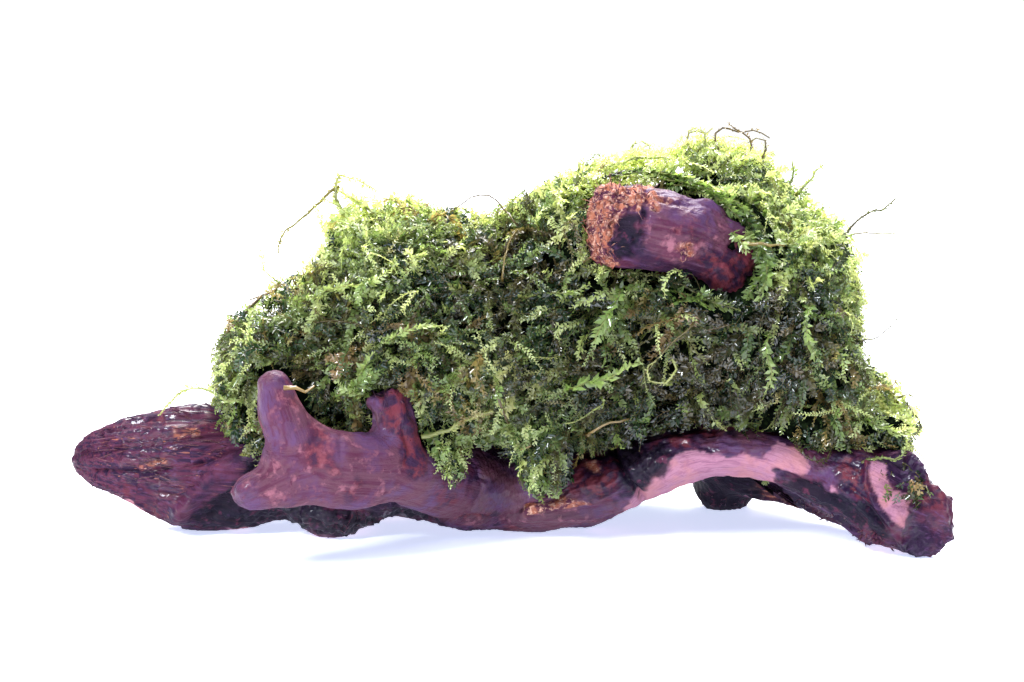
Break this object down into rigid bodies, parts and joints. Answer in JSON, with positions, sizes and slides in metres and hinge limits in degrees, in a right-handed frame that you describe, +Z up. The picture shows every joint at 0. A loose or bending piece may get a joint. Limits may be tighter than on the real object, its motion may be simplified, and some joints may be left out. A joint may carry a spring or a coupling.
{
  "type": "java moss on driftwood",
  "caption": "Wet branching driftwood with an arched leg, a forked branch and a broken stub, covered by a heap of feathery green java moss.",
  "frame": {"origin": "middle of the surface that the wood rests on, under the middle of its bounding box", "axes": "+X along the wood from the splintered root end to the spoon-shaped foot, +Y away from the viewer, +Z up"},
  "size_m": [0.1796, 0.0785, 0.0803],
  "materials": {
    "trunk_wood": "wet dark red-brown driftwood, split fibres and wrinkled bark, glossy",
    "antler_wood": "smooth mauve-brown driftwood with reddish blotches, satin",
    "stub_wood": "grained red-brown driftwood with a broken orange fibrous end",
    "leg_wood": "dark wet driftwood with pale pink dry patches",
    "rear_wood": "rough dark brown driftwood, damp",
    "moss": "wet feathery green shoots, translucent at the edges"
  },
  "bodies": {
    "root": {"driftwood_trunk": "trunk_wood", "antler_branch": "antler_wood", "stub_branch": "stub_wood", "front_leg": "leg_wood", "rear_leg": "rear_wood", "moss_left_mound": "moss", "moss_middle": "moss", "moss_under_stub": "moss", "moss_crown": "moss", "moss_right_flank": "moss", "moss_leg_tuft": "moss", "moss_back_left": "moss", "moss_back_middle": "moss", "moss_back_right": "moss", "moss_heel_tuft": "moss"}
  },
  "joints": []
}
